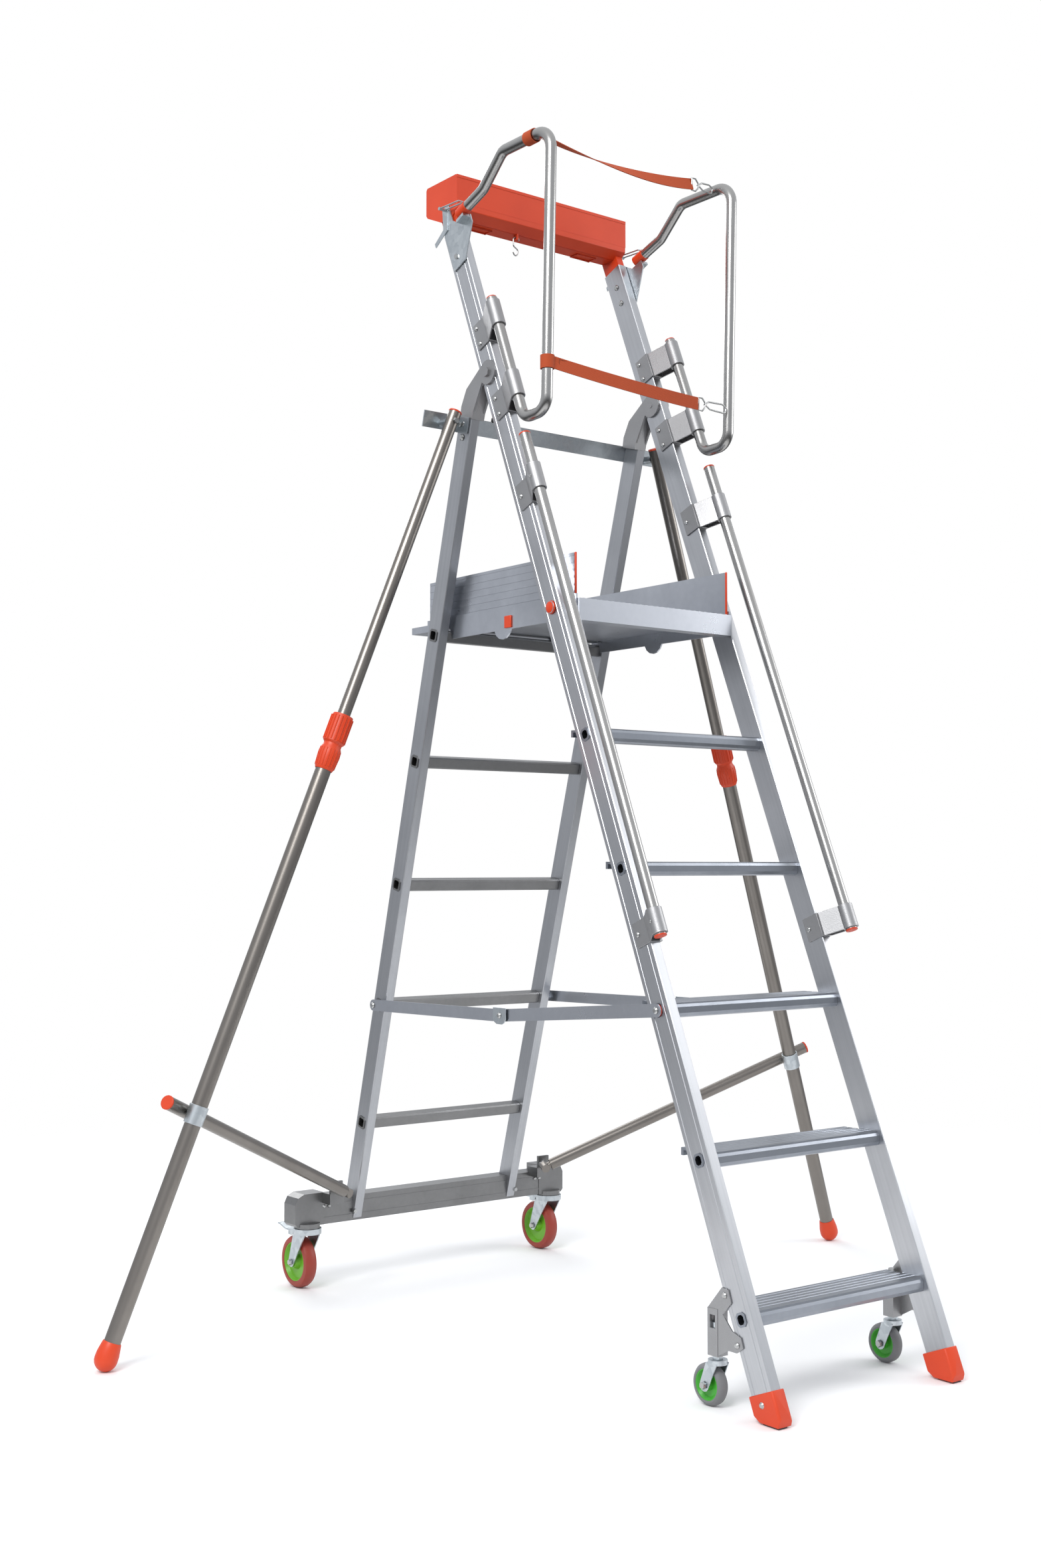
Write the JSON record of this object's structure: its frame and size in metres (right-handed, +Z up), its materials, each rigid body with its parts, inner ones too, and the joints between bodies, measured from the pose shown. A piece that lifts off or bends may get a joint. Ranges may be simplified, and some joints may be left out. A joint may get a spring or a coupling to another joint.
{
  "type": "platform stepladder",
  "caption": "Wheeled folding stepladder with ribbed treads, a railed standing platform, tool tray, guard hoops and telescopic side stabilisers.",
  "frame": {"origin": "on the floor at the middle of the bounding box", "axes": "+Z up, the treads are climbed from the -Y side, +X to the right of a person climbing"},
  "size_m": [2.1618, 1.5966, 2.6176],
  "materials": {
    "aluminium": "drawn, dull satin",
    "cast_aluminium": "rough casting and extrusion",
    "galvanised": "zinc plated",
    "orange_plastic": "moulded, slightly rough",
    "tyre_grey": "soft grey tread",
    "tyre_orange": "red-orange tyre, green rim",
    "webbing": "woven strap"
  },
  "bodies": {
    "front_ladder": {"front_stile_left": "aluminium", "front_stile_right": "aluminium", "tread_1": "aluminium", "tread_2": "aluminium", "tread_3": "aluminium", "tread_4": "aluminium", "tread_5": "aluminium", "foot_cap_left": "orange_plastic", "foot_cap_right": "orange_plastic", "top_tray": "orange_plastic", "hoop_clamp_lower_left": "cast_aluminium", "hoop_clamp_upper_left": "cast_aluminium", "hoop_clamp_lower_right": "cast_aluminium", "hoop_clamp_upper_right": "cast_aluminium", "handrail_left": "aluminium", "handrail_right": "aluminium", "hoop_bracket_left": "galvanised", "hoop_bracket_right": "galvanised", "castor_housing_left": "galvanised", "castor_housing_right": "galvanised"},
    "rear_ladder": {"hinge_casting_left": "cast_aluminium", "hinge_casting_right": "cast_aluminium", "rear_stile_left": "aluminium", "rear_stile_right": "aluminium", "rung_1": "aluminium", "rung_2": "aluminium", "rung_3": "aluminium", "rung_4": "aluminium", "rung_5": "aluminium", "rear_beam": "aluminium", "stabiliser_band": "galvanised"},
    "platform": {"platform": "aluminium"},
    "spreader_front_left": {"spreader_front_left": "aluminium"},
    "spreader_rear_left": {"spreader_rear_left": "aluminium"},
    "rear_castor_left": {"rear_castor_fork_left": "galvanised"},
    "rear_wheel_left": {"rear_wheel_left": "tyre_orange"},
    "brake_lever_left": {"brake_lever_left": "galvanised"},
    "castor_stem_left": {"castor_stem_left": "galvanised"},
    "front_castor_left": {"front_castor_fork_left": "galvanised"},
    "front_wheel_left": {"front_wheel_left": "tyre_grey"},
    "stabiliser_upper_left": {"stabiliser_upper_left": "aluminium"},
    "stabiliser_lower_left": {"stabiliser_lower_left": "aluminium"},
    "strut_left": {"strut_left": "aluminium"},
    "guard_hoop_left": {"guard_hoop_left": "aluminium", "strap_upper": "webbing", "strap_lower": "webbing"},
    "hoop_latch_left": {"hoop_latch_left": "galvanised"},
    "spreader_front_right": {"spreader_front_right": "aluminium"},
    "spreader_rear_right": {"spreader_rear_right": "aluminium"},
    "rear_castor_right": {"rear_castor_fork_right": "galvanised"},
    "rear_wheel_right": {"rear_wheel_right": "tyre_orange"},
    "brake_lever_right": {"brake_lever_right": "galvanised"},
    "castor_stem_right": {"castor_stem_right": "galvanised"},
    "front_castor_right": {"front_castor_fork_right": "galvanised"},
    "front_wheel_right": {"front_wheel_right": "tyre_grey"},
    "stabiliser_upper_right": {"stabiliser_upper_right": "aluminium"},
    "stabiliser_lower_right": {"stabiliser_lower_right": "aluminium"},
    "strut_right": {"strut_right": "aluminium"},
    "guard_hoop_right": {"guard_hoop_right": "aluminium"},
    "hoop_latch_right": {"hoop_latch_right": "galvanised"}
  },
  "joints": [
    {"name": "rear_fold", "type": "hinge", "parent": "front_ladder", "child": "rear_ladder", "pos_m": [0, 0.09495, 2.12517], "axis": [1, 0, 0], "range_deg": [-34, 0]},
    {"name": "platform_tilt", "type": "hinge", "parent": "front_ladder", "child": "platform", "pos_m": [0, -0.1305, 1.56913], "axis": [1, 0, 0], "range_deg": [0, 40]},
    {"name": "spreader_front_left_turn", "type": "hinge", "parent": "front_ladder", "child": "spreader_front_left", "pos_m": [0, -0.46866, 0.73508], "axis": [1, 0, 0], "range_deg": [-101.6, 0]},
    {"name": "spreader_rear_left_turn", "type": "hinge", "parent": "spreader_front_left", "child": "spreader_rear_left", "pos_m": [0, 0.0363, 0.693], "axis": [1, 0, 0], "range_deg": [0, 161.66]},
    {"name": "rear_castor_left_swivel", "type": "hinge", "parent": "rear_ladder", "child": "rear_castor_left", "pos_m": [-0.37, 0.6733, 0.135], "axis": [0, 0, 1], "continuous": true},
    {"name": "rear_wheel_left_spin", "type": "hinge", "parent": "rear_castor_left", "child": "rear_wheel_left", "pos_m": [-0.37, 0.7123, 0.0625], "axis": [1, 0, 0], "continuous": true},
    {"name": "brake_lever_left_press", "type": "hinge", "parent": "rear_castor_left", "child": "brake_lever_left", "pos_m": [-0.37, 0.7183, 0.133], "axis": [1, 0, 0], "range_deg": [-18, 0]},
    {"name": "castor_stem_left_spring", "type": "slide", "parent": "front_ladder", "child": "castor_stem_left", "axis": [0, 0, 1], "range_m": [0, 0.006], "stiffness_N_per_m": 4000},
    {"name": "front_castor_left_swivel", "type": "hinge", "parent": "castor_stem_left", "child": "front_castor_left", "pos_m": [-0.2465, -0.6197, 0.0815], "axis": [0, 0, 1], "continuous": true},
    {"name": "front_wheel_left_spin", "type": "hinge", "parent": "front_castor_left", "child": "front_wheel_left", "pos_m": [-0.2465, -0.5997, 0.04], "axis": [1, 0, 0], "continuous": true},
    {"name": "stabiliser_left_swing", "type": "hinge", "parent": "rear_ladder", "child": "stabiliser_upper_left", "pos_m": [-0.3084, 0.165, 2.02], "axis": [0, -0.9974, -0.0717], "range_deg": [0, 18]},
    {"name": "stabiliser_left_slide", "type": "slide", "parent": "stabiliser_upper_left", "child": "stabiliser_lower_left", "axis": [0.3504, -0.0672, 0.9342], "range_m": [0, 0.42]},
    {"name": "strut_left_swing", "type": "hinge", "parent": "rear_ladder", "child": "strut_left", "pos_m": [-0.303, 0.6033, 0.235], "axis": [-0.3428, 0.9064, 0.2466], "range_deg": [0, 56]},
    {"name": "guard_hoop_left_swing", "type": "hinge", "parent": "front_ladder", "child": "guard_hoop_left", "pos_m": [-0.268, 0.02012, 2.16284], "axis": [0, -0.3757, -0.9267], "range_deg": [0, 90]},
    {"name": "hoop_latch_left_lift", "type": "hinge", "parent": "front_ladder", "child": "hoop_latch_left", "pos_m": [-0.261, 0.25516, 2.53975], "axis": [1, 0, 0], "range_deg": [-50, 0]},
    {"name": "spreader_front_right_turn", "type": "hinge", "parent": "front_ladder", "child": "spreader_front_right", "pos_m": [0, -0.46866, 0.73508], "axis": [1, 0, 0], "range_deg": [-101.6, 0]},
    {"name": "spreader_rear_right_turn", "type": "hinge", "parent": "spreader_front_right", "child": "spreader_rear_right", "pos_m": [0, 0.0363, 0.693], "axis": [1, 0, 0], "range_deg": [0, 161.66]},
    {"name": "rear_castor_right_swivel", "type": "hinge", "parent": "rear_ladder", "child": "rear_castor_right", "pos_m": [0.37, 0.6733, 0.135], "axis": [0, 0, 1], "continuous": true},
    {"name": "rear_wheel_right_spin", "type": "hinge", "parent": "rear_castor_right", "child": "rear_wheel_right", "pos_m": [0.37, 0.7123, 0.0625], "axis": [1, 0, 0], "continuous": true},
    {"name": "brake_lever_right_press", "type": "hinge", "parent": "rear_castor_right", "child": "brake_lever_right", "pos_m": [0.37, 0.7183, 0.133], "axis": [1, 0, 0], "range_deg": [-18, 0]},
    {"name": "castor_stem_right_spring", "type": "slide", "parent": "front_ladder", "child": "castor_stem_right", "axis": [0, 0, 1], "range_m": [0, 0.006], "stiffness_N_per_m": 4000},
    {"name": "front_castor_right_swivel", "type": "hinge", "parent": "castor_stem_right", "child": "front_castor_right", "pos_m": [0.2465, -0.6197, 0.0815], "axis": [0, 0, 1], "continuous": true},
    {"name": "front_wheel_right_spin", "type": "hinge", "parent": "front_castor_right", "child": "front_wheel_right", "pos_m": [0.2465, -0.5997, 0.04], "axis": [1, 0, 0], "continuous": true},
    {"name": "stabiliser_right_swing", "type": "hinge", "parent": "rear_ladder", "child": "stabiliser_upper_right", "pos_m": [0.3084, 0.165, 2.02], "axis": [0, 0.9974, 0.0717], "range_deg": [0, 18]},
    {"name": "stabiliser_right_slide", "type": "slide", "parent": "stabiliser_upper_right", "child": "stabiliser_lower_right", "axis": [-0.3504, -0.0672, 0.9342], "range_m": [0, 0.42]},
    {"name": "strut_right_swing", "type": "hinge", "parent": "rear_ladder", "child": "strut_right", "pos_m": [0.303, 0.6033, 0.235], "axis": [-0.3428, -0.9064, -0.2466], "range_deg": [0, 56]},
    {"name": "guard_hoop_right_swing", "type": "hinge", "parent": "front_ladder", "child": "guard_hoop_right", "pos_m": [0.268, 0.02012, 2.16284], "axis": [0, 0.3757, 0.9267], "range_deg": [0, 90]},
    {"name": "hoop_latch_right_lift", "type": "hinge", "parent": "front_ladder", "child": "hoop_latch_right", "pos_m": [0.261, 0.25516, 2.53975], "axis": [1, 0, 0], "range_deg": [-50, 0]}
  ],
  "couplings": [
    {"joint": "platform_tilt", "follows": "rear_fold", "ratio": -1.1753},
    {"joint": "spreader_front_left_turn", "follows": "rear_fold", "ratio": 2.9586},
    {"joint": "spreader_rear_left_turn", "follows": "rear_fold", "ratio": -4.7075},
    {"joint": "strut_left_swing", "follows": "stabiliser_left_swing", "ratio": 3.108},
    {"joint": "spreader_front_right_turn", "follows": "rear_fold", "ratio": 2.9586},
    {"joint": "spreader_rear_right_turn", "follows": "rear_fold", "ratio": -4.7075},
    {"joint": "strut_right_swing", "follows": "stabiliser_right_swing", "ratio": 3.108}
  ]
}
